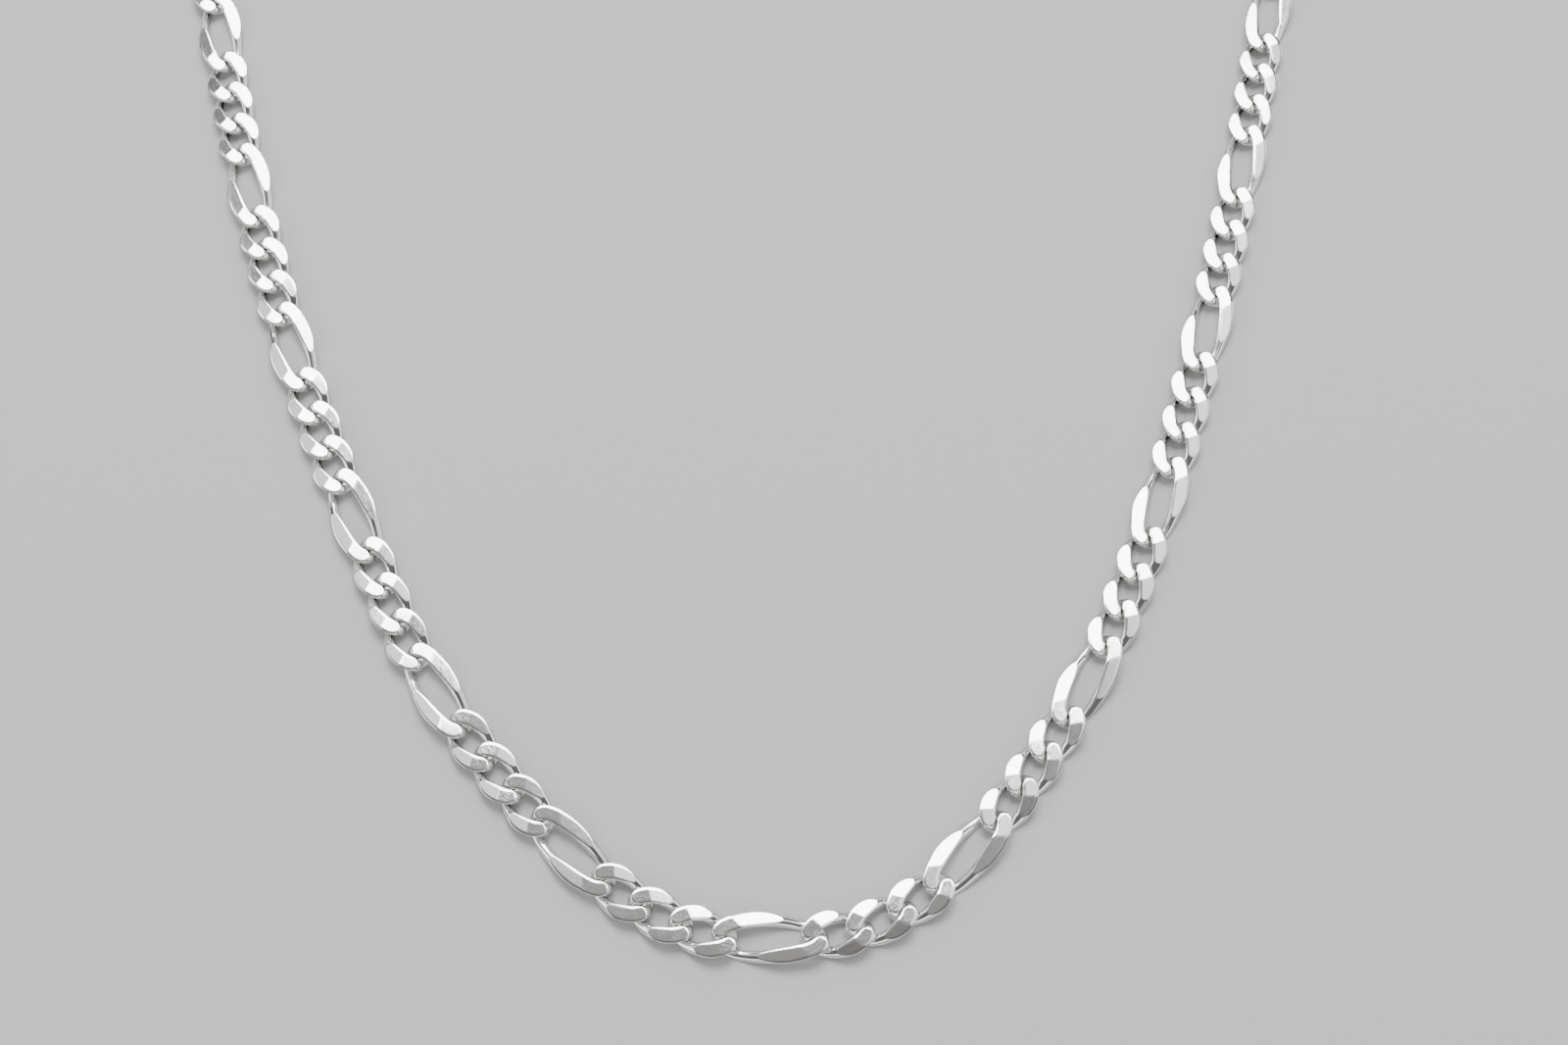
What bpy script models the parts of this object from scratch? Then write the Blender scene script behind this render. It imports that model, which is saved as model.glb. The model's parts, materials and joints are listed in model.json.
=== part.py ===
"""A silver figaro necklace, undone and laid flat in a V.

Three short links and one long link repeat along the chain. Every link is an oval of round wire, twisted along
its length so that it crosses its neighbours at a right angle, and filed flat on both faces. The chain lies on
the XY plane with its centre link along X, and its two arms run up +Y to the clasp.
"""

import math

import bmesh
import bpy
from mathutils import Matrix, Vector

MM = 0.001

# The wire and the two sizes of link
WIRE = 1.25 * MM
LONG_LENGTH = 13.1 * MM
LONG_WIDTH = 5.4 * MM
SHORT_LENGTH = 8.05 * MM
SHORT_WIDTH = 5.1 * MM
LONG_SQUARENESS = 3.0  # 2 would be an ellipse
SHORT_SQUARENESS = 2.4
LONG_POINTS = 18  # along the wire of one link
SHORT_POINTS = 14
END_TWIST = math.radians(44)
THICKNESS = 1.6 * MM  # between the two filed faces
PLAY = 0.12 * MM  # slack where two wires cross
SOLDER = 0.24 * MM  # how far two wires sink into each other in a soldered run

# The run of the chain
REPEAT = ("short", "short", "short", "long")
FREE_REPEATS = 6
SOLDERED_REPEATS = 2
LEFT_ROUTE_MM = (
    (-5, 0), (-13, 2.5), (-24, 10.5), (-41.5, 31), (-53.5, 55), (-63.5, 79), (-72, 105), (-79, 132),
    (-82, 147), (-79.5, 162), (-70, 173), (-57, 178), (-42, 179),
)
RIGHT_ROUTE_MM = (
    (5, 0), (13, 2), (23.5, 10), (39, 32), (49.5, 56), (57.5, 81), (64.5, 107), (70.5, 133),
    (73.5, 147), (71, 162), (62, 173), (49, 178), (34, 179),
)
ROUTE_STEPS = 60
LAST_LINK_PITCH = math.radians(7)  # the clasp ring holds the last left link up

# The rings
CLASP_RING_RADIUS = 1.9 * MM
CLASP_RING_WIRE = 0.8 * MM
CLASP_RING_PLAY = 0.22 * MM
END_RING_RADIUS = 2.3 * MM
END_RING_WIRE = 0.8 * MM
END_RING_LEAN = math.radians(25)
END_RING_ASIDE = 0.6 * MM

# The lobster clasp, measured from the middle of its eye towards its nose
CLASP_THICKNESS = 2.4 * MM
CLASP_PITCH = math.radians(7)
EYE_RADIUS = 1.75 * MM
EYE_HOLE_RADIUS = 0.95 * MM
EYE_THICKNESS = 1.3 * MM
EYE_PLAY = 0.7 * MM  # the eye's rim keeps this far inside the curve of the ring
NOSE_X = 8.3 * MM
NOSE_RADIUS = 3.1 * MM
NOSE_HOLE_RADIUS = 1.75 * MM
CHEEK_OUTLINE_MM = ((0.9, 0.9), (2.6, 1.9), (5.0, 2.75), (7.6, 3.02), (7.6, 0), (5.5, -0.9), (4.9, -1.75),
                    (3.3, -1.75), (0.9, -0.9))
SLOT_MM = ((3.45, 7.2), (-4, 0.45))
MOUTH_MM = ((5.5, 9.6), (-4, -0.75))
MOUTH_REACH = 4.7 * MM  # the mouth ends on an arc about the pivot, and so does the gate
GATE_REACH = 4.55 * MM
SLOT_HEIGHT = 1.24 * MM
PIVOT = Vector((4.6, -0.6, 0)) * MM
PIN_RADIUS = 0.35 * MM
PIN_CLEARANCE = 0.05 * MM
HUB_RADIUS = 0.85 * MM
HUB_THICKNESS = 0.5 * MM
TRIGGER_THICKNESS = 1.0 * MM
TRIGGER_ARM_MM = ((4.7, -1.4), (5.0, -2.4), (5.8, -2.9), (7.8, -3.0), (9.1, -2.95), (9.1, -2.0),
                  (8.2, -1.95), (7.2, -1.6), (6.3, -1.0), (5.35, -0.35))
THUMB_CENTRE = Vector((5.6, -2.6, 0)) * MM
THUMB_RADIUS = 0.6 * MM
THUMB_HEIGHT = 2.0 * MM
SPRING_WIRE = 0.14 * MM
SPRING_RADIUS = 0.56 * MM
SPRING_TURNS = 2
SPRING_RISE = 1.4 * SPRING_WIRE  # in one turn

FILED_REACH = 10 * MM  # the filing cut is larger than any link

# How finely the round pieces are drawn
RING_SIDES = 20
DISC_SIDES = 24
PIN_SIDES = 16
ARC_SIDES = 48
SPRING_SIDES = 10
SHARP_EDGE = math.radians(40)


# Collections, materials and solids

def new_collection(name):
    collection = bpy.data.collections.new(name)
    bpy.context.scene.collection.children.link(collection)
    return collection


def metal(name, colour, roughness):
    material = bpy.data.materials.new(name)
    material.use_nodes = True
    shader = material.node_tree.nodes["Principled BSDF"]
    shader.inputs["Base Color"].default_value = (*colour, 1)
    shader.inputs["Metallic"].default_value = 1
    shader.inputs["Roughness"].default_value = roughness
    return material


def add_object(name, data, collection, matrix=None):
    piece = bpy.data.objects.new(name, data)
    collection.objects.link(piece)
    if matrix is not None:
        piece.location, rotation, _ = matrix.decompose()
        piece.rotation_euler = rotation.to_euler()
    return piece


def baked_mesh(piece):
    """The mesh that an object's curve and modifiers come to, welded shut; the object is removed."""
    bpy.context.view_layer.update()
    depsgraph = bpy.context.evaluated_depsgraph_get()
    mesh = bpy.data.meshes.new_from_object(piece.evaluated_get(depsgraph), depsgraph=depsgraph)
    mesh.name = piece.name
    bpy.data.objects.remove(piece)
    shape = bmesh.new()
    shape.from_mesh(mesh)
    bmesh.ops.remove_doubles(shape, verts=shape.verts, dist=WIRE / 1000)
    shape.to_mesh(mesh)
    shape.free()
    return mesh


def joined(base, tools, operation):
    """Bakes a mesh with others added to it or cut from it. Each tool is a mesh and its place."""
    piece = add_object(base.name, base, cutters)
    tool_objects = [add_object(mesh.name, mesh, cutters, place) for mesh, place in tools]
    for tool in tool_objects:
        tool.hide_render = True
        tool.display_type = "WIRE"
        boolean = piece.modifiers.new(operation.title(), "BOOLEAN")
        boolean.operation = operation
        boolean.solver = "EXACT"
        boolean.object = tool
    mesh = baked_mesh(piece)
    for tool in tool_objects:
        bpy.data.objects.remove(tool)
    return mesh


def box_mesh(name, low, high):
    shape = bmesh.new()
    bmesh.ops.create_cube(shape, size=1)
    size = Matrix.Diagonal((*(high - low), 1))
    shape.transform(Matrix.Translation((low + high) / 2) @ size)
    return finished_mesh(name, shape)


def disc_mesh(name, radius, height, centre=Vector(), sides=DISC_SIDES):
    shape = bmesh.new()
    bmesh.ops.create_cone(
        shape, cap_ends=True, segments=sides, radius1=radius, radius2=radius, depth=height
    )
    shape.transform(Matrix.Translation(centre))
    return finished_mesh(name, shape)


def finished_mesh(name, shape):
    mesh = bpy.data.meshes.new(name)
    shape.to_mesh(mesh)
    shape.free()
    return mesh


def plate_mesh(name, outline_mm, thickness):
    """A flat outline, given in millimetres, thickened evenly about its own plane."""
    curve = bpy.data.curves.new(name, "CURVE")
    curve.dimensions = "2D"
    curve.fill_mode = "BOTH"
    curve.extrude = thickness / 2
    spline = curve.splines.new("POLY")
    spline.points.add(len(outline_mm) - 1)
    spline.use_cyclic_u = True
    for point, (x, y) in zip(spline.points, outline_mm):
        point.co = (x * MM, y * MM, 0, 1)
    return baked_mesh(add_object(name, curve, cutters))


def wire_mesh(name, points, wire, resolution, closed):
    curve = bpy.data.curves.new(name, "CURVE")
    curve.dimensions = "3D"
    curve.twist_mode = "Z_UP"
    curve.bevel_depth = wire / 2
    curve.bevel_resolution = resolution
    curve.use_fill_caps = not closed
    spline = curve.splines.new("POLY")
    spline.points.add(len(points) - 1)
    spline.use_cyclic_u = closed
    for point, place in zip(spline.points, points):
        point.co = (*place, 1)
    return baked_mesh(add_object(name, curve, cutters))


# One link

def twisted_oval(length, width, squareness, count):
    """The middle line of a link's wire: an oval whose crosswise lines turn about X from end to end."""
    half_length = (length - WIRE) / 2
    half_width = (width - WIRE) / 2
    points = []
    for number in range(count):
        turn = 2 * math.pi * (number + 0.5) / count
        across = math.copysign(abs(math.sin(turn)) ** (2 / squareness), math.sin(turn))
        along = math.copysign(abs(math.cos(turn)) ** (2 / squareness), math.cos(turn))
        twist = END_TWIST * along
        y = half_width * across
        points.append(Vector((half_length * along, y * math.cos(twist), -y * math.sin(twist))))
    return points


def filed_link(name, length, width, squareness, count):
    wire = wire_mesh(name, twisted_oval(length, width, squareness, count), WIRE, 1, closed=True)
    corner = Vector((FILED_REACH, FILED_REACH, THICKNESS / 2))
    return joined(wire, [(box_mesh("filing_faces", -corner, corner), None)], "INTERSECT")


LENGTHS = {"long": LONG_LENGTH, "short": SHORT_LENGTH}


def reach_to_hinge(kind, gap):
    """From the middle of a link to where its wire would touch its neighbour's, less half the gap."""
    return LENGTHS[kind] / 2 - WIRE - gap / 2


# The route and the places of the links along it

def smooth_route(points_mm):
    """A Catmull-Rom curve through the points, as many short straight steps."""
    points = [Vector(point) * MM for point in points_mm]
    points = [2 * points[0] - points[1], *points, 2 * points[-1] - points[-2]]
    route = []
    for a, b, c, d in zip(points, points[1:], points[2:], points[3:]):
        squared = 2 * a - 5 * b + 4 * c - d
        cubed = 3 * b - a - 3 * c + d
        for step in range(ROUTE_STEPS):
            t = step / ROUTE_STEPS
            route.append((2 * b + (c - a) * t + squared * t**2 + cubed * t**3) / 2)
    return route + [points[-2]]


def point_on_route(route, start, distance, first):
    """The first point of the route, from step first on, that is this far from start, and its step."""
    for number in range(first, len(route) - 1):
        near, far = (route[number] - start).length, (route[number + 1] - start).length
        if near <= distance < far:
            share = (distance - near) / (far - near)
            return route[number].lerp(route[number + 1], share), number
    raise ValueError("the route is too short for the chain")


class LinkPlace:
    """Where one link of an arm lies: its two hinges, its middle and its heading."""

    def __init__(self, kind, start, end, gap_before):
        self.kind = kind
        self.start = start
        self.heading = math.atan2(end.y - start.y, end.x - start.x)
        direction = (end - start).normalized()
        self.middle = start + direction * reach_to_hinge(kind, gap_before)

    def hinge_matrix(self):
        place = Matrix.Translation((*self.start, THICKNESS / 2))
        return place @ Matrix.Rotation(self.heading, 4, "Z")


def arm_places(route_mm, side):
    """The links of one arm in order from the centre link, in groups that are one piece each."""
    route = smooth_route(route_mm)
    start = Vector((side * reach_to_hinge("long", PLAY), 0))
    step = 0
    gap_before = PLAY
    groups = []
    for repeat in range(FREE_REPEATS + SOLDERED_REPEATS):
        soldered = repeat >= FREE_REPEATS
        if soldered:
            groups.append([])
        for number, kind in enumerate(REPEAT):
            gap_after = -SOLDER if soldered and number < len(REPEAT) - 1 else PLAY
            span = reach_to_hinge(kind, gap_before) + reach_to_hinge(kind, gap_after)
            end, step = point_on_route(route, start, span, step)
            place = LinkPlace(kind, start, end, gap_before)
            if soldered:
                groups[-1].append(place)
            else:
                groups.append([place])
            start, gap_before = end, gap_after
    return groups


def pitched(place, pitch):
    """A link's matrix at its middle, its far end lifted about the near one, which stays on the surface."""
    reach = (place.middle - place.start).length
    lift = Matrix.Translation((0, 0, WIRE * math.sin(pitch)))
    tilt = Matrix.Rotation(-pitch, 4, "Y")
    return place.hinge_matrix() @ lift @ tilt @ Matrix.Translation((reach, 0, 0))


# The pieces of the chain

def add_centre_link():
    middle = Matrix.Translation((0, 0, THICKNESS / 2))
    return add_object("centre_long_link", link_meshes["long"], necklace, middle)


def add_arm(name, groups, last_pitch):
    """One arm's links, each with its origin on the hinge towards the centre link."""
    pieces = []
    for number, group in enumerate(groups, 1):
        frame = group[0].hinge_matrix()
        if len(group) == 1:
            kind = group[0].kind
            title = f"{name}_{number:02d}_{kind}_link"
            piece = add_object(title, hinged_meshes[kind], necklace, frame)
        else:
            pitches = [0] * len(group)
            if group is groups[-1]:
                pitches[-1] = last_pitch
            mesh = soldered_mesh(group, pitches, frame)
            run = number - len(REPEAT) * FREE_REPEATS
            piece = add_object(f"{name}_back_run_{run}", mesh, necklace, frame)
        pieces.append(piece)
    return pieces


def soldered_mesh(group, pitches, frame):
    """The links of one soldered run as one mesh, seen from the run's own frame."""
    places = [frame.inverted() @ pitched(place, pitch) for place, pitch in zip(group, pitches)]
    meshes = [link_meshes[place.kind].copy() for place in group]
    meshes[0].transform(places[0])
    return joined(meshes[0], list(zip(meshes[1:], places[1:])), "UNION")


def hinged_mesh(kind):
    """A link's mesh with its origin moved to the hinge at its near end."""
    mesh = link_meshes[kind].copy()
    mesh.transform(Matrix.Translation((reach_to_hinge(kind, PLAY), 0, 0)))
    return mesh


# The rings at the two ends

def last_bar(place, pitch):
    """A level frame in the middle of the end bar of an arm's last link, with X along the arm."""
    bar = pitched(place, pitch) @ Vector(((LENGTHS[place.kind] - WIRE) / 2, 0, 0))
    return Matrix.Translation(bar) @ Matrix.Rotation(place.heading, 4, "Z")


def add_ring(name, radius, wire, bar_frame, ahead, aside, lean):
    """A closed ring that stands or leans along an arm, its origin on the end bar that it hangs from."""
    height = radius * math.sin(lean) + wire / 2
    centre = Vector((ahead, aside, height - bar_frame.translation.z))
    points = []
    for number in range(RING_SIDES):
        turn = 2 * math.pi * number / RING_SIDES
        across = radius * math.sin(turn)
        spot = Vector((radius * math.cos(turn), across * math.cos(lean), across * math.sin(lean)))
        points.append(centre + spot)
    return add_object(name, wire_mesh(name, points, wire, 1, closed=True), necklace, bar_frame)


def ring_reach(radius, wire, drop):
    """How far ahead of a bar a standing ring's middle is, when the ring hangs on the bar by its inside."""
    inside = radius - (WIRE + wire) / 2 - CLASP_RING_PLAY
    return math.sqrt(inside**2 - drop**2)


# The lobster clasp

def clasp_frame(ring_frame, ring_ahead):
    """The middle of the clasp's eye, with X towards its nose, which rests on the surface."""
    nose_tip = NOSE_X + NOSE_RADIUS
    height = CLASP_THICKNESS / 2 * math.cos(CLASP_PITCH) + nose_tip * math.sin(CLASP_PITCH)
    ahead = ring_ahead + CLASP_RING_RADIUS + EYE_HOLE_RADIUS - CLASP_RING_WIRE / 2 - EYE_PLAY
    eye = ring_frame @ Vector((ahead, 0, 0))
    eye.z = height
    turned = ring_frame.to_3x3().to_4x4()
    return Matrix.Translation(eye) @ turned @ Matrix.Rotation(CLASP_PITCH, 4, "Y")


def span_box(name, spans_mm, height):
    (low_x, high_x), (low_y, high_y) = spans_mm
    low = Vector((low_x * MM, low_y * MM, -height / 2))
    return box_mesh(name, low, Vector((high_x * MM, high_y * MM, height / 2)))


def clasp_body_mesh():
    eye = disc_mesh("eye", EYE_RADIUS, EYE_THICKNESS)
    cheeks = plate_mesh("cheeks", CHEEK_OUTLINE_MM, CLASP_THICKNESS)
    nose = disc_mesh("nose", NOSE_RADIUS, CLASP_THICKNESS, Vector((NOSE_X, 0, 0)), ARC_SIDES)
    solid = joined(cheeks, [(eye, None), (nose, None)], "UNION")
    through = 2 * CLASP_THICKNESS
    swing = disc_mesh("swing", MOUTH_REACH, through, PIVOT, ARC_SIDES)
    mouth = joined(span_box("mouth", MOUTH_MM, through), [(swing, None)], "INTERSECT")
    cuts = (
        disc_mesh("eye_hole", EYE_HOLE_RADIUS, through),
        disc_mesh("nose_hole", NOSE_HOLE_RADIUS, through, Vector((NOSE_X, 0, 0))),
        disc_mesh("pin_hole", PIN_RADIUS + PIN_CLEARANCE, through, PIVOT, PIN_SIDES),
        mouth,
        span_box("slot", SLOT_MM, SLOT_HEIGHT),
    )
    return joined(solid, [(cut, None) for cut in cuts], "DIFFERENCE")


def trigger_mesh():
    """The gate, whose hub fills the lower half of the slot and leaves the upper half to the spring."""
    lift = (HUB_THICKNESS - TRIGGER_THICKNESS) / 2
    hub = disc_mesh("hub", HUB_RADIUS, HUB_THICKNESS, PIVOT + Vector((0, 0, lift)))
    swing = disc_mesh("swing", GATE_REACH, CLASP_THICKNESS, PIVOT, ARC_SIDES)
    arm = joined(plate_mesh("arm", TRIGGER_ARM_MM, TRIGGER_THICKNESS), [(swing, None)], "INTERSECT")
    above_hub = PIVOT + Vector((0, 0, HUB_THICKNESS))
    spring_room = disc_mesh("spring_room", HUB_RADIUS + PIN_CLEARANCE, TRIGGER_THICKNESS, above_hub)
    arm = joined(arm, [(spring_room, None)], "DIFFERENCE")
    thumb = disc_mesh("thumb", THUMB_RADIUS, THUMB_HEIGHT, THUMB_CENTRE)
    gate = joined(arm, [(hub, None), (thumb, None)], "UNION")
    bore = disc_mesh("bore", PIN_RADIUS + PIN_CLEARANCE, CLASP_THICKNESS, PIVOT, PIN_SIDES)
    gate = joined(gate, [(bore, None)], "DIFFERENCE")
    gate.transform(Matrix.Translation(-PIVOT))
    return gate


def spring_mesh():
    """Two turns about the pin, with one leg along the slot and one leg along the gate."""
    start = -TRIGGER_THICKNESS / 2 + HUB_THICKNESS + SPRING_WIRE
    points = [Vector((-SPRING_RADIUS, -SPRING_RADIUS, start))]
    for number in range(SPRING_TURNS * SPRING_SIDES + 1):
        turns = number / SPRING_SIDES
        angle = math.pi + 2 * math.pi * turns
        spot = Vector((SPRING_RADIUS * math.cos(angle), SPRING_RADIUS * math.sin(angle), 0))
        spot.z = start + SPRING_RISE * turns
        points.append(spot)
    points.append(points[-1] + Vector((0, -SPRING_RADIUS, 0)))
    return wire_mesh("lobster_spring", points, SPRING_WIRE, 0, closed=False)


def add_clasp(frame):
    """The clasp's four pieces; the gate, the pin and the spring have their origins on the pivot."""
    pivot_frame = frame @ Matrix.Translation(PIVOT)
    pin = disc_mesh("lobster_pivot_pin", PIN_RADIUS, CLASP_THICKNESS, sides=PIN_SIDES)
    return [
        add_object("lobster_body", clasp_body_mesh(), necklace, frame),
        add_object("lobster_trigger", trigger_mesh(), necklace, pivot_frame),
        add_object("lobster_pivot_pin", pin, necklace, pivot_frame),
        add_object("lobster_spring", spring_mesh(), necklace, pivot_frame),
    ]


# Finish

def finish(pieces):
    for piece in pieces:
        piece.data.materials.clear()
        piece.data.materials.append(SPRING_STEEL if piece.name == "lobster_spring" else SILVER)
        piece.data.shade_smooth()
        piece.data.set_sharp_from_angle(angle=SHARP_EDGE)


def middle_of_base(pieces):
    """The middle of the underside of the box that holds the pieces."""
    corners = [piece.matrix_world @ vertex.co for piece in pieces for vertex in piece.data.vertices]
    low = Vector(min(corner[axis] for corner in corners) for axis in range(3))
    high = Vector(max(corner[axis] for corner in corners) for axis in range(3))
    return Vector(((low.x + high.x) / 2, (low.y + high.y) / 2, low.z))


def parent_in_order(pieces):
    """Each piece hangs from the one before it, so that turning a piece carries the rest of its arm."""
    bpy.context.view_layer.update()
    for holder, piece in zip(pieces, pieces[1:]):
        piece.parent = holder
        piece.matrix_parent_inverse = holder.matrix_world.inverted()


for old in list(bpy.data.objects):
    bpy.data.objects.remove(old)
necklace = new_collection("figaro_necklace")
cutters = new_collection("cutters")
SILVER = metal("polished_silver", (0.90, 0.90, 0.91), 0.16)
SPRING_STEEL = metal("spring_steel", (0.55, 0.55, 0.57), 0.3)

link_meshes = {
    "long": filed_link("long_link", LONG_LENGTH, LONG_WIDTH, LONG_SQUARENESS, LONG_POINTS),
    "short": filed_link("short_link", SHORT_LENGTH, SHORT_WIDTH, SHORT_SQUARENESS, SHORT_POINTS),
}
hinged_meshes = {kind: hinged_mesh(kind) for kind in link_meshes}

left_groups = arm_places(LEFT_ROUTE_MM, -1)
right_groups = arm_places(RIGHT_ROUTE_MM, 1)
centre = add_centre_link()
left_arm = add_arm("left", left_groups, LAST_LINK_PITCH)
right_arm = add_arm("right", right_groups, 0)

left_bar = last_bar(left_groups[-1][-1], LAST_LINK_PITCH)
standing_height = CLASP_RING_RADIUS + CLASP_RING_WIRE / 2
ring_ahead = ring_reach(CLASP_RING_RADIUS, CLASP_RING_WIRE, standing_height - left_bar.translation.z)
clasp_ring = add_ring(
    "clasp_ring", CLASP_RING_RADIUS, CLASP_RING_WIRE, left_bar, ring_ahead, 0, math.radians(90)
)
clasp = add_clasp(clasp_frame(left_bar, ring_ahead))
right_bar = last_bar(right_groups[-1][-1], 0)
end_ring = add_ring(
    "end_ring", END_RING_RADIUS, END_RING_WIRE, right_bar, 0, END_RING_ASIDE, END_RING_LEAN
)

pieces = [centre, *left_arm, *right_arm, clasp_ring, *clasp, end_ring]
finish(pieces)
parent_in_order([centre, *left_arm, clasp_ring, clasp[0]])
parent_in_order([centre, *right_arm, end_ring])
for part in clasp[1:]:
    parent_in_order([clasp[0], part])
centre.location -= middle_of_base(pieces)
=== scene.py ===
"""The looks of a silver figaro necklace, undone and laid flat in a V.

Each link is drawn again round its CAD link as round wire, twisted from end to end, with filed faces and four
slanting cuts. The rings are drawn as rings of round wire, and the clasp is rounded over. All lengths are in
metres, in the CAD frame.
"""

import json
import math
import random

import bmesh
import bpy
import numpy as np
from mathutils import Matrix, Vector


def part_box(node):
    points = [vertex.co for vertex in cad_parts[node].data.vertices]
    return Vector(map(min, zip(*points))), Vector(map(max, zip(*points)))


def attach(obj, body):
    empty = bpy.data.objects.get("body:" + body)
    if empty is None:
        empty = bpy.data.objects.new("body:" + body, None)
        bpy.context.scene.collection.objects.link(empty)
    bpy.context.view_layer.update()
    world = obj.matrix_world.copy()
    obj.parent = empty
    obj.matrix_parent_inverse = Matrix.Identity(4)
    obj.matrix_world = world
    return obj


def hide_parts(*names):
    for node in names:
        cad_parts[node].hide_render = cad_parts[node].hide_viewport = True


MM = 0.001

# The wire and the two sizes of link, as in the CAD
WIRE = 1.25 * MM
LENGTHS = {"long": 13.1 * MM, "short": 8.05 * MM}
WIDTHS = {"long": 5.4 * MM, "short": 5.1 * MM}
SQUARENESS = {"long": 3.0, "short": 2.4}  # 2 would be an ellipse
END_TWIST = math.radians(44)
THICKNESS = 1.6 * MM
PLAY = 0.12 * MM
SOLDER = 0.24 * MM

# The finish of a link
DRAWN_WIRE = 1.2 * MM  # a little thinner than in the CAD
PATH_STEPS = 8000  # for measuring along the wire's middle line
SECTIONS = {"long": 208, "short": 136}
ACROSS_FLAT = 5  # faces across a filed face
DOWN_FLANK = 9  # points down each round side
LEAST_FLAT = math.radians(7)  # half of the angle that the top of an untouched section takes up
FILED_ANGLE = 2.5 * LEAST_FLAT  # a wider top than this counts as filed
SOFT_EDGE = 0.035 * MM
MOST_INSET = 0.2  # the largest share of a flat that the soft edge takes up on each side
CUT_START = {"long": -3.9 * MM, "short": -2.1 * MM}  # where a slanting cut leaves the flat face
CUT_FALL = {"long": 0.098, "short": 0.12}  # along the link
CUT_LEAN = 0.10  # outwards
CUT_REACH = {"long": 3.2 * MM, "short": 1.7 * MM}  # past the middle of the link
SPREAD = (1.2, 1.6)  # how much wider than tall the pressed wire is where it dives, and over its neighbour
SPREAD_OUTWARDS = 0.5  # the share of the widening that goes outwards, clear of the neighbour's wire
SPREAD_RISE = (-0.75 * MM, 0.85 * MM)  # the heights of the wire between which it widens
SHADE_AND_TARNISH_REACH = 0.85 * MM  # how the tarnish and painted shade fade with the distance from where two links rub
SHADE_AND_TARNISH_DEPTH = 1.35
NORMAL_WEIGHT = 80

# Links never settle quite level
SEED = 7
ROLL = math.radians(2.4)
NOD = math.radians(0.8)

# The run of the chain, as in the CAD
REPEAT = ("short", "short", "short", "long")
FREE_REPEATS = 6
SOLDERED_REPEATS = 2
LEFT_ROUTE_MM = (
    (-5, 0), (-13, 2.5), (-24, 10.5), (-41.5, 31), (-53.5, 55), (-63.5, 79), (-72, 105), (-79, 132),
    (-82, 147), (-79.5, 162), (-70, 173), (-57, 178), (-42, 179),
)
RIGHT_ROUTE_MM = (
    (5, 0), (13, 2), (23.5, 10), (39, 32), (49.5, 56), (57.5, 81), (64.5, 107), (70.5, 133),
    (73.5, 147), (71, 162), (62, 173), (49, 178), (34, 179),
)
ROUTE_STEPS = 60
LAST_LINK_PITCH = math.radians(7)

# The rings
RING_WIRE = 0.8 * MM
RING_STEPS = 120
RING_SIDES = 24
SEAM_DEPTH = 0.09
SEAM_WIDTH = 0.06 * MM

# How finely each of the clasp's pieces is drawn, and in how many rounds it is then smoothed
CLASP_FINISH = {
    "lobster_body": (0.05 * MM, 70),
    "lobster_trigger": (0.035 * MM, 36),
    "lobster_pivot_pin": (0.035 * MM, 4),
    "lobster_spring": (0.025 * MM, 4),
}

# Colours
# Painted shade: the round sides are painted greyer than the filed faces, standing in for darker reflections
# on the rounded wire
SHADED_ROUND_SILVER = (0.80, 0.79, 0.775, 1)
FILED_SILVER = (0.965, 0.96, 0.95, 1)
# Tarnish and painted shade: the brown darkening where neighbouring links cross under each other
TARNISH_AND_PAINTED_SHADE = (0.50, 0.45, 0.40, 1)
SPRING_STEEL = (0.56, 0.56, 0.57, 1)
FLOOR_GREY = (0.50, 0.50, 0.50, 1)

# The stage: the sky's tone at three heights, 1 being straight up
SKY = ((0.02, (0.80, 0.80, 0.80, 1)), (0.28, (0.100, 0.092, 0.086, 1)), (0.62, (0.17, 0.165, 0.16, 1)))
FLOOR_RADIUS = 1.2
FLOOR_SIDES = 128

# The softboxes: azimuth (0 is behind the necklace, at +Y), elevation, width and height, power, colour
LIGHT_DISTANCE = 1.5
WHITE = (1, 1, 1)
COOL = (0.92, 0.95, 1.0)
LIGHTS = {
    "key_softbox": (0, 53, (1.09, 0.92), 33, WHITE),
    "left_key_softbox": (-50, 49, (0.50, 0.92), 1.5, COOL),
    "right_key_softbox": (66, 63, (0.70, 0.80), 2.4, COOL),
    "top_softbox": (0, 82, (1.7, 0.64), 0.5, WHITE),
    "back_softbox": (0, 22, (3.2, 0.38), 4.6, WHITE),
    "front_softbox": (180, 33, (2.3, 0.62), 9.4, WHITE),
    "left_softbox": (-90, 30, (1.7, 0.62), 9.6, WHITE),
    "right_softbox": (90, 30, (1.7, 0.62), 7.0, WHITE),
}

# The camera, seen from the point on the chain's plane that it looks at
CAMERA_LENS_MM = 50
CAMERA_DISTANCE = 278.5 * MM
CAMERA_ELEVATION = math.radians(64.9)
LOOK_AT = Vector((1.6, 54.1, -0.8)) * MM  # from the middle of the centre link


# Where the links lie

def reach_to_hinge(kind, gap):
    return LENGTHS[kind] / 2 - WIRE - gap / 2


def smooth_route(points_mm):
    """A Catmull-Rom curve through the points, as many short straight steps."""
    points = [Vector(point) * MM for point in points_mm]
    points = [2 * points[0] - points[1], *points, 2 * points[-1] - points[-2]]
    route = []
    for a, b, c, d in zip(points, points[1:], points[2:], points[3:]):
        squared = 2 * a - 5 * b + 4 * c - d
        cubed = 3 * b - a - 3 * c + d
        for step in range(ROUTE_STEPS):
            t = step / ROUTE_STEPS
            route.append((2 * b + (c - a) * t + squared * t**2 + cubed * t**3) / 2)
    return route + [points[-2]]


def point_on_route(route, start, distance, first):
    """The first point of the route, from step first on, that is this far from start, and its step."""
    for number in range(first, len(route) - 1):
        near, far = (route[number] - start).length, (route[number + 1] - start).length
        if near <= distance < far:
            share = (distance - near) / (far - near)
            return route[number].lerp(route[number + 1], share), number
    raise ValueError("the route is too short for the chain")


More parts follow.
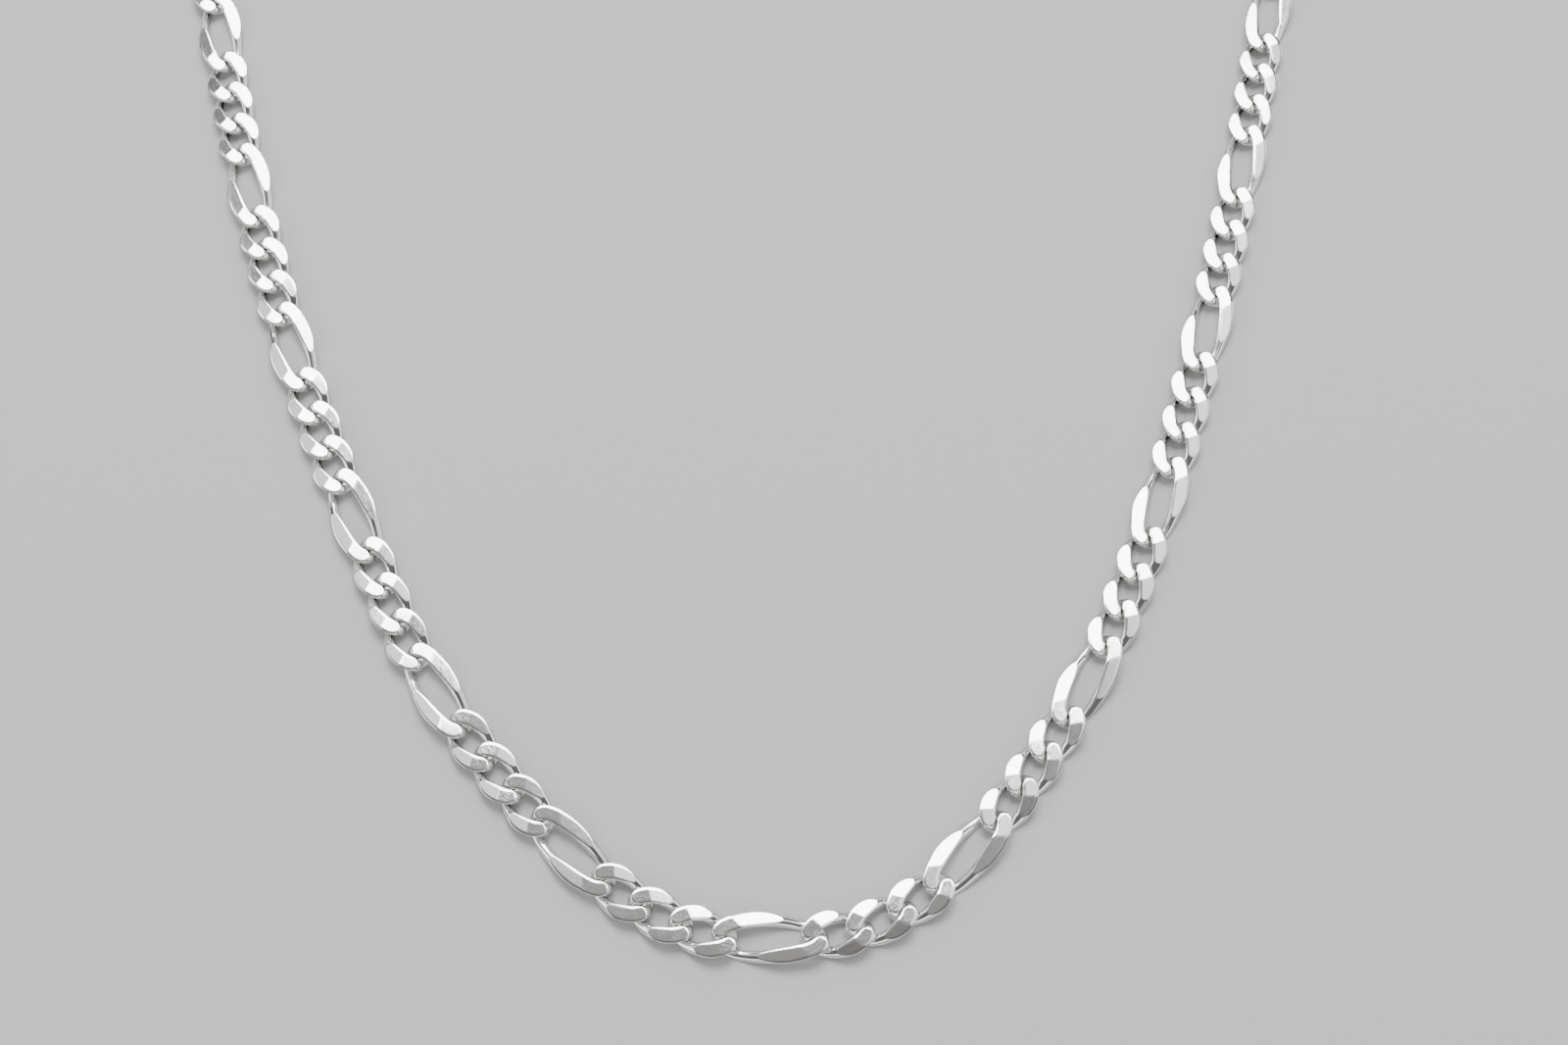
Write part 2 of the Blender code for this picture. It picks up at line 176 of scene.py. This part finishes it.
def link_matrix(kind, start, end, gap_before, pitch):
    """A link's place at its middle, as seen from under the centre link."""
    heading = math.atan2(end.y - start.y, end.x - start.x)
    at_hinge = Matrix.Translation((*start, THICKNESS / 2)) @ Matrix.Rotation(heading, 4, "Z")
    lift = Matrix.Translation((0, 0, WIRE * math.sin(pitch)))
    tilt = Matrix.Rotation(-pitch, 4, "Y")
    return at_hinge @ lift @ tilt @ Matrix.Translation((reach_to_hinge(kind, gap_before), 0, 0))


def arm_links(name, route_mm, side, last_pitch):
    """The kind, place and CAD node of every link of one arm, from the centre link on."""
    route = smooth_route(route_mm)
    start = Vector((side * reach_to_hinge("long", PLAY), 0))
    step = 0
    gap_before = PLAY
    links = []
    for repeat in range(FREE_REPEATS + SOLDERED_REPEATS):
        run = repeat - FREE_REPEATS + 1
        for number, kind in enumerate(REPEAT):
            last_of_run = number == len(REPEAT) - 1
            gap_after = -SOLDER if run > 0 and not last_of_run else PLAY
            span = reach_to_hinge(kind, gap_before) + reach_to_hinge(kind, gap_after)
            end, step = point_on_route(route, start, span, step)
            pitch = last_pitch if run == SOLDERED_REPEATS and last_of_run else 0
            place = link_matrix(kind, start, end, gap_before, pitch)
            node = f"{name}_back_run_{run}" if run > 0 else f"{name}_{len(links) + 1:02d}_{kind}_link"
            links.append((kind, place, node))
            start, gap_before = end, gap_after
    return links


# The mesh of one link

def wire_middle(kind):
    """Evenly spaced points along the middle line of a link's wire."""
    half_length = (LENGTHS[kind] - WIRE) / 2
    half_width = (WIDTHS[kind] - WIRE) / 2
    turn = np.linspace(0, 2 * math.pi, PATH_STEPS + 1)
    power = 2 / SQUARENESS[kind]
    along = np.sign(np.cos(turn)) * np.abs(np.cos(turn)) ** power
    across = half_width * np.sign(np.sin(turn)) * np.abs(np.sin(turn)) ** power
    twist = END_TWIST * along
    points = np.stack([half_length * along, across * np.cos(twist), -across * np.sin(twist)], axis=1)
    walked = np.concatenate([[0], np.cumsum(np.linalg.norm(np.diff(points, axis=0), axis=1))])
    stops = walked[-1] * np.arange(SECTIONS[kind]) / SECTIONS[kind]
    return [Vector(np.interp(stop, walked, points[:, axis]) for axis in range(3)) for stop in stops]


def slanting_cut(kind, middle):
    """The upper slanting cut on the arm at +Y, as a plane's normal and its distance from the middle."""
    start = min((point for point in middle if point.y > 0), key=lambda point: abs(point.x - CUT_START[kind]))
    normal = Vector((CUT_FALL[kind], CUT_LEAN, 1))
    return normal, normal.dot(Vector((start.x, start.y, THICKNESS / 2)))


def faces_above(kind, cut, point, turned):
    """The planes that trim the wire from above at a point; turned sees the link from below."""
    planes = [(Vector((0, 0, 1)), THICKNESS / 2)]
    normal, distance = cut
    seen = Vector((point.x, -point.y if turned else point.y))
    side = 1 if seen.y > 0 else -1
    if side * seen.x < CUT_REACH[kind]:
        planes.append((Vector((side * normal.x, side * normal.y, 1)), distance))
    if turned:
        planes = [(Vector((n.x, -n.y, -n.z)), d) for n, d in planes]
    return planes


def flat_span(planes, point, sideways, up):
    """The angles from the upward line at which the trimmed face meets the round wire."""
    low, high = -LEAST_FLAT, LEAST_FLAT
    for normal, distance in planes:
        tilt = math.atan2(normal.dot(sideways), normal.dot(up))
        size = math.hypot(normal.dot(sideways), normal.dot(up))
        depth = (distance - normal.dot(point)) / size / (DRAWN_WIRE / 2)
        if depth < 1:
            half = math.acos(max(depth, -1))
            low, high = min(low, tilt - half), max(high, tilt + half)
    return low, high


def flat_points(planes, point, sideways, up, span):
    """Points across the top of one section, on the planes where they trim the wire."""
    radius = DRAWN_WIRE / 2
    low, high = (radius * math.sin(angle) for angle in span)
    inset = min(SOFT_EDGE / (high - low), MOST_INSET)
    points = []
    for number in range(ACROSS_FLAT + 1):
        share = inset + (1 - 2 * inset) * number / ACROSS_FLAT
        aside = low + (high - low) * share
        height = math.sqrt(max(radius**2 - aside**2, 0))
        for normal, distance in planes:
            room = distance - normal.dot(point) - aside * normal.dot(sideways)
            height = min(height, room / normal.dot(up))
        points.append(point + aside * sideways + height * up)
    return points


def spread_at(point):
    """How much wider than tall the wire is: pressing the link flat spreads it where it stands proud."""
    low, high = SPREAD_RISE
    share = min(max((point.z - low) / (high - low), 0), 1)
    return SPREAD[0] + (SPREAD[1] - SPREAD[0]) * share * share * (3 - 2 * share)


def section(kind, cut, point, tangent):
    """The outline of the wire at one point, and for each of its points how much it belongs to a flat."""
    radius = DRAWN_WIRE / 2
    sideways = tangent.cross(Vector((0, 0, 1))).normalized()
    up = sideways.cross(tangent)
    spread = spread_at(point)
    point = point + SPREAD_OUTWARDS * (spread - 1) * radius * sideways
    sideways *= spread
    soft = SOFT_EDGE / radius
    outline, flatness = [], []
    spans = []
    for turned in (False, True):
        planes = faces_above(kind, cut, point, turned)
        side = -1 if turned else 1
        spans.append(flat_span(planes, point, side * sideways, side * up))
    for turned in (False, True):
        planes = faces_above(kind, cut, point, turned)
        side = -1 if turned else 1
        span, other = spans[turned], spans[not turned]
        flat = flat_points(planes, point, side * sideways, side * up, span)
        outline += flat
        flatness += [1.0 if span[1] - span[0] > FILED_ANGLE else 0.0] * len(flat)
        first, last = span[1] + soft, math.pi + other[0] - soft
        for number in range(DOWN_FLANK):
            angle = first + (last - first) * number / (DOWN_FLANK - 1)
            offset = math.cos(angle) * up + math.sin(angle) * sideways
            outline.append(point + side * radius * offset)
            flatness.append(0.0)
    return outline, flatness


def link_mesh(kind):
    middle = wire_middle(kind)
    cut = slanting_cut(kind, middle)
    vertices, flatness, nearness = [], [], []
    hinge = LENGTHS[kind] / 2 - WIRE
    for number, point in enumerate(middle):
        tangent = (middle[(number + 1) % len(middle)] - middle[number - 1]).normalized()
        outline, flats = section(kind, cut, point, tangent)
        vertices += outline
        flatness += flats
        nearness += [math.hypot(abs(spot.x) - hinge, spot.y, spot.z) for spot in outline]
    ring = len(vertices) // len(middle)
    faces = []
    for number in range(len(middle)):
        this, following = number * ring, (number + 1) % len(middle) * ring
        for spot in range(ring):
            beside = (spot + 1) % ring
            faces.append((this + spot, this + beside, following + beside, following + spot))
    mesh = bpy.data.meshes.new(f"{kind}_link")
    mesh.from_pydata(vertices, [], faces)
    mesh.shade_smooth()
    mesh.attributes.new("filed", "FLOAT", "POINT").data.foreach_set("value", flatness)
    # Painted shade with tarnish: darkest near the hinge, where the neighbouring link crosses, fading with
    # the distance
    shade = [min(max(SHADE_AND_TARNISH_DEPTH - reach / SHADE_AND_TARNISH_REACH, 0), 1) for reach in nearness]
    mesh.attributes.new("hidden", "FLOAT", "POINT").data.foreach_set("value", shade)
    return weighted(mesh)


def weighted(mesh):
    """The mesh, with each flat face shaded flat right up to its soft edge."""
    piece = bpy.data.objects.new(mesh.name, mesh)
    bpy.context.scene.collection.objects.link(piece)
    normals = piece.modifiers.new("Flats", "WEIGHTED_NORMAL")
    normals.weight = NORMAL_WEIGHT
    return evaluated(piece)


def evaluated(piece):
    """The mesh that an object's modifiers come to; the object is removed."""
    bpy.context.view_layer.update()
    depsgraph = bpy.context.evaluated_depsgraph_get()
    mesh = bpy.data.meshes.new_from_object(piece.evaluated_get(depsgraph), depsgraph=depsgraph)
    mesh.name = piece.name
    bpy.data.objects.remove(piece)
    return mesh


# Materials

class Nodes:
    """Short ways to add nodes to a material's tree."""

    def __init__(self, material):
        material.use_nodes = True
        self.tree = material.node_tree
        self.shader = self.tree.nodes["Principled BSDF"]

    def add(self, kind, inputs=None, **settings):
        node = self.tree.nodes.new(kind)
        for name, value in settings.items():
            setattr(node, name, value)
        for name, value in (inputs or {}).items():
            self.put(node.inputs[name], value)
        return node

    def put(self, socket, value):
        if isinstance(value, bpy.types.NodeSocket):
            self.tree.links.new(value, socket)
        else:
            socket.default_value = value

    def math(self, operation, *values, clamp=False):
        node = self.add("ShaderNodeMath", operation=operation, use_clamp=clamp)
        for socket, value in zip(node.inputs, values):
            self.put(socket, value)
        return node.outputs[0]

    def noise(self, place, scale, detail=2.0, stretch=(1, 1, 1), turn=0.0):
        """Fractal noise, its scale in features a metre."""
        mapping = self.add(
            "ShaderNodeMapping", {"Vector": place, "Scale": stretch, "Rotation": (0, 0, turn)}
        )
        inputs = {"Vector": mapping.outputs[0], "Scale": scale, "Detail": detail}
        return self.add("ShaderNodeTexNoise", inputs).outputs["Fac"]

    def spread(self, value, low, high, to_low, to_high):
        inputs = {"Value": value, "From Min": low, "From Max": high, "To Min": to_low, "To Max": to_high}
        return self.add("ShaderNodeMapRange", inputs, clamp=True).outputs[0]

    def attribute(self, name):
        return self.add("ShaderNodeAttribute", attribute_name=name).outputs["Fac"]


def own_place(nodes):
    """Each piece's own coordinates, moved by a random amount so that no two pieces share their marks."""
    place = nodes.add("ShaderNodeTexCoord").outputs["Object"]
    chance = nodes.add("ShaderNodeObjectInfo").outputs["Random"]
    shift = nodes.math("MULTIPLY", chance, 3.0)
    return nodes.add("ShaderNodeVectorMath", {0: place, 1: shift}, operation="ADD").outputs[0]


def polished_silver():
    """Bright silver: hand-filed flats with fine marks and slight waves, and polished round sides painted
    greyer as painted shade. A little tarnish with painted shade darkens the silver where the links rub under
    each other."""
    material = bpy.data.materials.new("polished_silver")
    nodes = Nodes(material)
    place = own_place(nodes)
    filed = nodes.attribute("filed")
    hidden = nodes.attribute("hidden")

    lines = nodes.noise(place, 6200, 3.0, stretch=(0.16, 1, 1), turn=math.radians(28))
    specks = nodes.noise(place, 4300, 4.0)
    marks = nodes.math("ADD", nodes.math("MULTIPLY", lines, 0.45), nodes.math("MULTIPLY", specks, 0.55))
    waves = nodes.noise(place, 430, 1.0)
    smudges = nodes.noise(place, 240, 3.0)

    # Painted shade: the round sides get the greyer silver and the filed faces the bright one
    bright = nodes.add("ShaderNodeMix", data_type="RGBA")
    nodes.put(bright.inputs["A"], SHADED_ROUND_SILVER)
    nodes.put(bright.inputs["B"], FILED_SILVER)
    nodes.put(bright.inputs["Factor"], filed)
    tone = nodes.add("ShaderNodeMix", data_type="RGBA")
    nodes.put(tone.inputs["A"], bright.outputs["Result"])
    nodes.put(tone.inputs["B"], TARNISH_AND_PAINTED_SHADE)
    # Painted shade and tarnish where the links cross, broken up by the smudges
    tarnish_and_shade = nodes.math("MULTIPLY", hidden, nodes.spread(smudges, 0.3, 0.7, 0.35, 0.9))
    nodes.put(tone.inputs["Factor"], tarnish_and_shade)
    nodes.put(nodes.shader.inputs["Base Color"], tone.outputs["Result"])

    flat_roughness = nodes.spread(marks, 0.38, 0.66, 0.09, 0.20)
    round_roughness = nodes.spread(smudges, 0.35, 0.7, 0.06, 0.14)
    roughness = nodes.add("ShaderNodeMix", {"A": round_roughness, "B": flat_roughness, "Factor": filed})
    roughness_with_tarnish_and_shade = nodes.math("ADD", roughness.outputs["Result"], nodes.math("MULTIPLY", tarnish_and_shade, 0.18), clamp=True)
    nodes.put(nodes.shader.inputs["Roughness"], roughness_with_tarnish_and_shade)

    fine = nodes.add("ShaderNodeBump", {"Height": marks, "Distance": 1.6e-6, "Strength": 0.3})
    broad = nodes.add(
        "ShaderNodeBump",
        {"Height": waves, "Distance": 8e-6, "Strength": 0.9, "Normal": fine.outputs[0]},
    )
    nodes.put(nodes.shader.inputs["Normal"], broad.outputs[0])
    nodes.put(nodes.shader.inputs["Metallic"], 1.0)
    return material


def spring_steel():
    """Drawn steel wire: greyer and duller, with lines along it."""
    material = bpy.data.materials.new("spring_steel")
    nodes = Nodes(material)
    place = own_place(nodes)
    lines = nodes.noise(place, 9000, 2.0, stretch=(1, 1, 0.2))
    nodes.put(nodes.shader.inputs["Base Color"], SPRING_STEEL)
    nodes.put(nodes.shader.inputs["Roughness"], nodes.spread(lines, 0.3, 0.7, 0.22, 0.42))
    bump = nodes.add("ShaderNodeBump", {"Height": lines, "Distance": 2e-6, "Strength": 0.5})
    nodes.put(nodes.shader.inputs["Normal"], bump.outputs[0])
    nodes.put(nodes.shader.inputs["Metallic"], 1.0)
    return material


# The pieces

def add_piece(name, mesh, place, node, body):
    piece = bpy.data.objects.new(name, mesh)
    bpy.context.scene.collection.objects.link(piece)
    piece.matrix_world = place
    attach(piece, body)
    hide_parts(node)
    return piece


def add_links(silver):
    low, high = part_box("centre_long_link")
    under_centre = Matrix.Translation(((low.x + high.x) / 2, (low.y + high.y) / 2, low.z))
    meshes = {kind: link_mesh(kind) for kind in LENGTHS}
    for mesh in meshes.values():
        mesh.materials.append(silver)
    middle = Matrix.Translation((0, 0, THICKNESS / 2))
    links = [("long", middle, "centre_long_link")]
    links += arm_links("left", LEFT_ROUTE_MM, -1, LAST_LINK_PITCH)
    links += arm_links("right", RIGHT_ROUTE_MM, 1, 0)
    counts = {}
    chance = random.Random(SEED)
    for kind, place, node in links:
        counts[node] = counts.get(node, 0) + 1
        place = place @ Matrix.Rotation(chance.uniform(-ROLL, ROLL), 4, "X")
        place = place @ Matrix.Rotation(chance.uniform(-NOD, NOD), 4, "Y")
        add_piece(
            f"{node}_silver_{counts[node]}", meshes[kind], under_centre @ place, node, BODY_OF[node]
        )


def rounded_copy(node):
    """A node's mesh drawn finer and rounded over, as a cast piece comes out of the polishing drum."""
    voxel, rounds = CLASP_FINISH[node]
    piece = bpy.data.objects.new(f"{node}_round", frame["nodes"][node].data.copy())
    bpy.context.scene.collection.objects.link(piece)
    remesh = piece.modifiers.new("Fine", "REMESH")
    remesh.mode = "VOXEL"
    remesh.voxel_size = voxel
    remesh.use_smooth_shade = True
    smooth = piece.modifiers.new("Round", "SMOOTH")
    smooth.factor = 0.5
    smooth.iterations = rounds
    return evaluated(piece)


def ring_frame(node):
    """The middle and the turn of a ring, with Z along its axis, and the radius of its wire's middle line."""
    spots = np.array([vertex.co for vertex in frame["nodes"][node].data.vertices])
    middle = spots.mean(axis=0)
    across, _, axis = np.linalg.svd(spots - middle, full_matrices=False)[2]
    turn = Matrix((across, np.cross(axis, across), axis)).transposed()
    reach = np.linalg.norm(spots - middle, axis=1)
    return Matrix.Translation(middle) @ turn.to_4x4(), (reach.max() + reach.min()) / 2


def ring_mesh(name, radius):
    """A ring of round wire with the fine groove where its ends were soldered shut."""
    shape = bmesh.new()
    rows = []
    for number in range(RING_STEPS):
        angle = 2 * math.pi * number / RING_STEPS
        from_seam = abs(angle - math.pi) * radius
        thick = RING_WIRE / 2 * (1 - SEAM_DEPTH * math.exp(-(from_seam / SEAM_WIDTH) ** 2))
        row = []
        for spot in range(RING_SIDES):
            tilt = 2 * math.pi * spot / RING_SIDES
            reach = radius + thick * math.cos(tilt)
            place = (reach * math.cos(angle), reach * math.sin(angle), thick * math.sin(tilt))
            row.append(shape.verts.new(place))
        rows.append(row)
    for row, following in zip(rows, rows[1:] + rows[:1]):
        for spot in range(RING_SIDES):
            beside = (spot + 1) % RING_SIDES
            shape.faces.new((row[spot], following[spot], following[beside], row[beside]))
    mesh = bpy.data.meshes.new(name)
    shape.to_mesh(mesh)
    shape.free()
    mesh.shade_smooth()
    return mesh


def add_ring(node, material):
    place, radius = ring_frame(node)
    mesh = ring_mesh(f"{node}_wire", radius)
    mesh.materials.append(material)
    add_piece(f"{node}_finish", mesh, place, node, BODY_OF[node])


def add_rounded(node, material):
    mesh = rounded_copy(node)
    mesh.materials.clear()
    mesh.materials.append(material)
    add_piece(f"{node}_finish", mesh, Matrix(), node, BODY_OF[node])


# The stage

def add_area(name, place, size, power, colour):
    """A rectangular light that faces the origin."""
    light = bpy.data.lights.new(name, "AREA")
    light.shape = "RECTANGLE"
    light.size, light.size_y = size
    light.energy = power
    light.color = colour
    lamp = bpy.data.objects.new(name, light)
    bpy.context.scene.collection.objects.link(lamp)
    lamp.location = place
    lamp.rotation_euler = (-place).to_track_quat("-Z", "Y").to_euler()


def on_dome(azimuth, elevation):
    """A point at the lights' distance from the origin."""
    azimuth, elevation = math.radians(azimuth), math.radians(elevation)
    level = math.cos(elevation)
    towards = Vector((level * math.sin(azimuth), level * math.cos(azimuth), math.sin(elevation)))
    return LIGHT_DISTANCE * towards


def add_lights():
    for name, (azimuth, elevation, size, power, colour) in LIGHTS.items():
        add_area(name, on_dome(azimuth, elevation), size, power, colour)


def add_world():
    """A plain studio: pale at the horizon, with a darker band above it."""
    world = bpy.data.worlds.new("studio")
    world.use_nodes = True
    bpy.context.scene.world = world
    tree = world.node_tree
    place = tree.nodes.new("ShaderNodeTexCoord")
    split = tree.nodes.new("ShaderNodeSeparateXYZ")
    ramp = tree.nodes.new("ShaderNodeValToRGB")
    tree.links.new(place.outputs["Generated"], split.inputs[0])
    tree.links.new(split.outputs["Z"], ramp.inputs[0])
    tones = ramp.color_ramp.elements
    tones.new(SKY[2][0])
    for tone, (height, colour) in zip(tones, SKY):
        tone.position = height
        tone.color = colour
    tree.links.new(ramp.outputs[0], tree.nodes["Background"].inputs["Color"])


def add_floor():
    mesh = bpy.data.meshes.new("floor")
    shape = bmesh.new()
    bmesh.ops.create_circle(shape, cap_ends=True, segments=FLOOR_SIDES, radius=FLOOR_RADIUS)
    shape.to_mesh(mesh)
    shape.free()
    material = bpy.data.materials.new("pale_floor")
    material.use_nodes = True
    shader = material.node_tree.nodes["Principled BSDF"]
    shader.inputs["Base Color"].default_value = FLOOR_GREY
    shader.inputs["Roughness"].default_value = 0.9
    shader.inputs["Specular IOR Level"].default_value = 0.1
    mesh.materials.append(material)
    floor = bpy.data.objects.new("floor", mesh)
    bpy.context.scene.collection.objects.link(floor)


def add_camera():
    low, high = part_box("centre_long_link")
    aim = (low + high) / 2 + LOOK_AT
    data = bpy.data.cameras.new("camera")
    data.lens = CAMERA_LENS_MM
    data.clip_start = 0.01
    camera = bpy.data.objects.new("camera", data)
    bpy.context.scene.collection.objects.link(camera)
    back = Vector((0, -math.cos(CAMERA_ELEVATION), math.sin(CAMERA_ELEVATION)))
    camera.location = aim + CAMERA_DISTANCE * back
    camera.rotation_euler = back.to_track_quat("Z", "Y").to_euler()
    bpy.context.scene.camera = camera


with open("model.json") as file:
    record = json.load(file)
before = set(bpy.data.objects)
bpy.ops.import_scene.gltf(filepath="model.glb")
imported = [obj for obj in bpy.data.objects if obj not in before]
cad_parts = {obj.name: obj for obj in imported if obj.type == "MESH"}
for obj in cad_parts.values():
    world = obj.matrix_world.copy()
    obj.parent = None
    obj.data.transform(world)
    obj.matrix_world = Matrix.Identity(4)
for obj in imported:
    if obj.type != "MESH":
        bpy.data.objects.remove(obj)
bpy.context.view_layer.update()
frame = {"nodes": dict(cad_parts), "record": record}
BODY_OF = {node: body for body, nodes in frame["record"]["behaviour"]["bodies"].items() for node in nodes}

add_camera()
add_world()
add_lights()
add_floor()

silver = polished_silver()
steel = spring_steel()
add_links(silver)
add_ring("clasp_ring", silver)
add_ring("end_ring", silver)
add_rounded("lobster_body", silver)
add_rounded("lobster_trigger", silver)
add_rounded("lobster_pivot_pin", silver)
add_rounded("lobster_spring", steel)
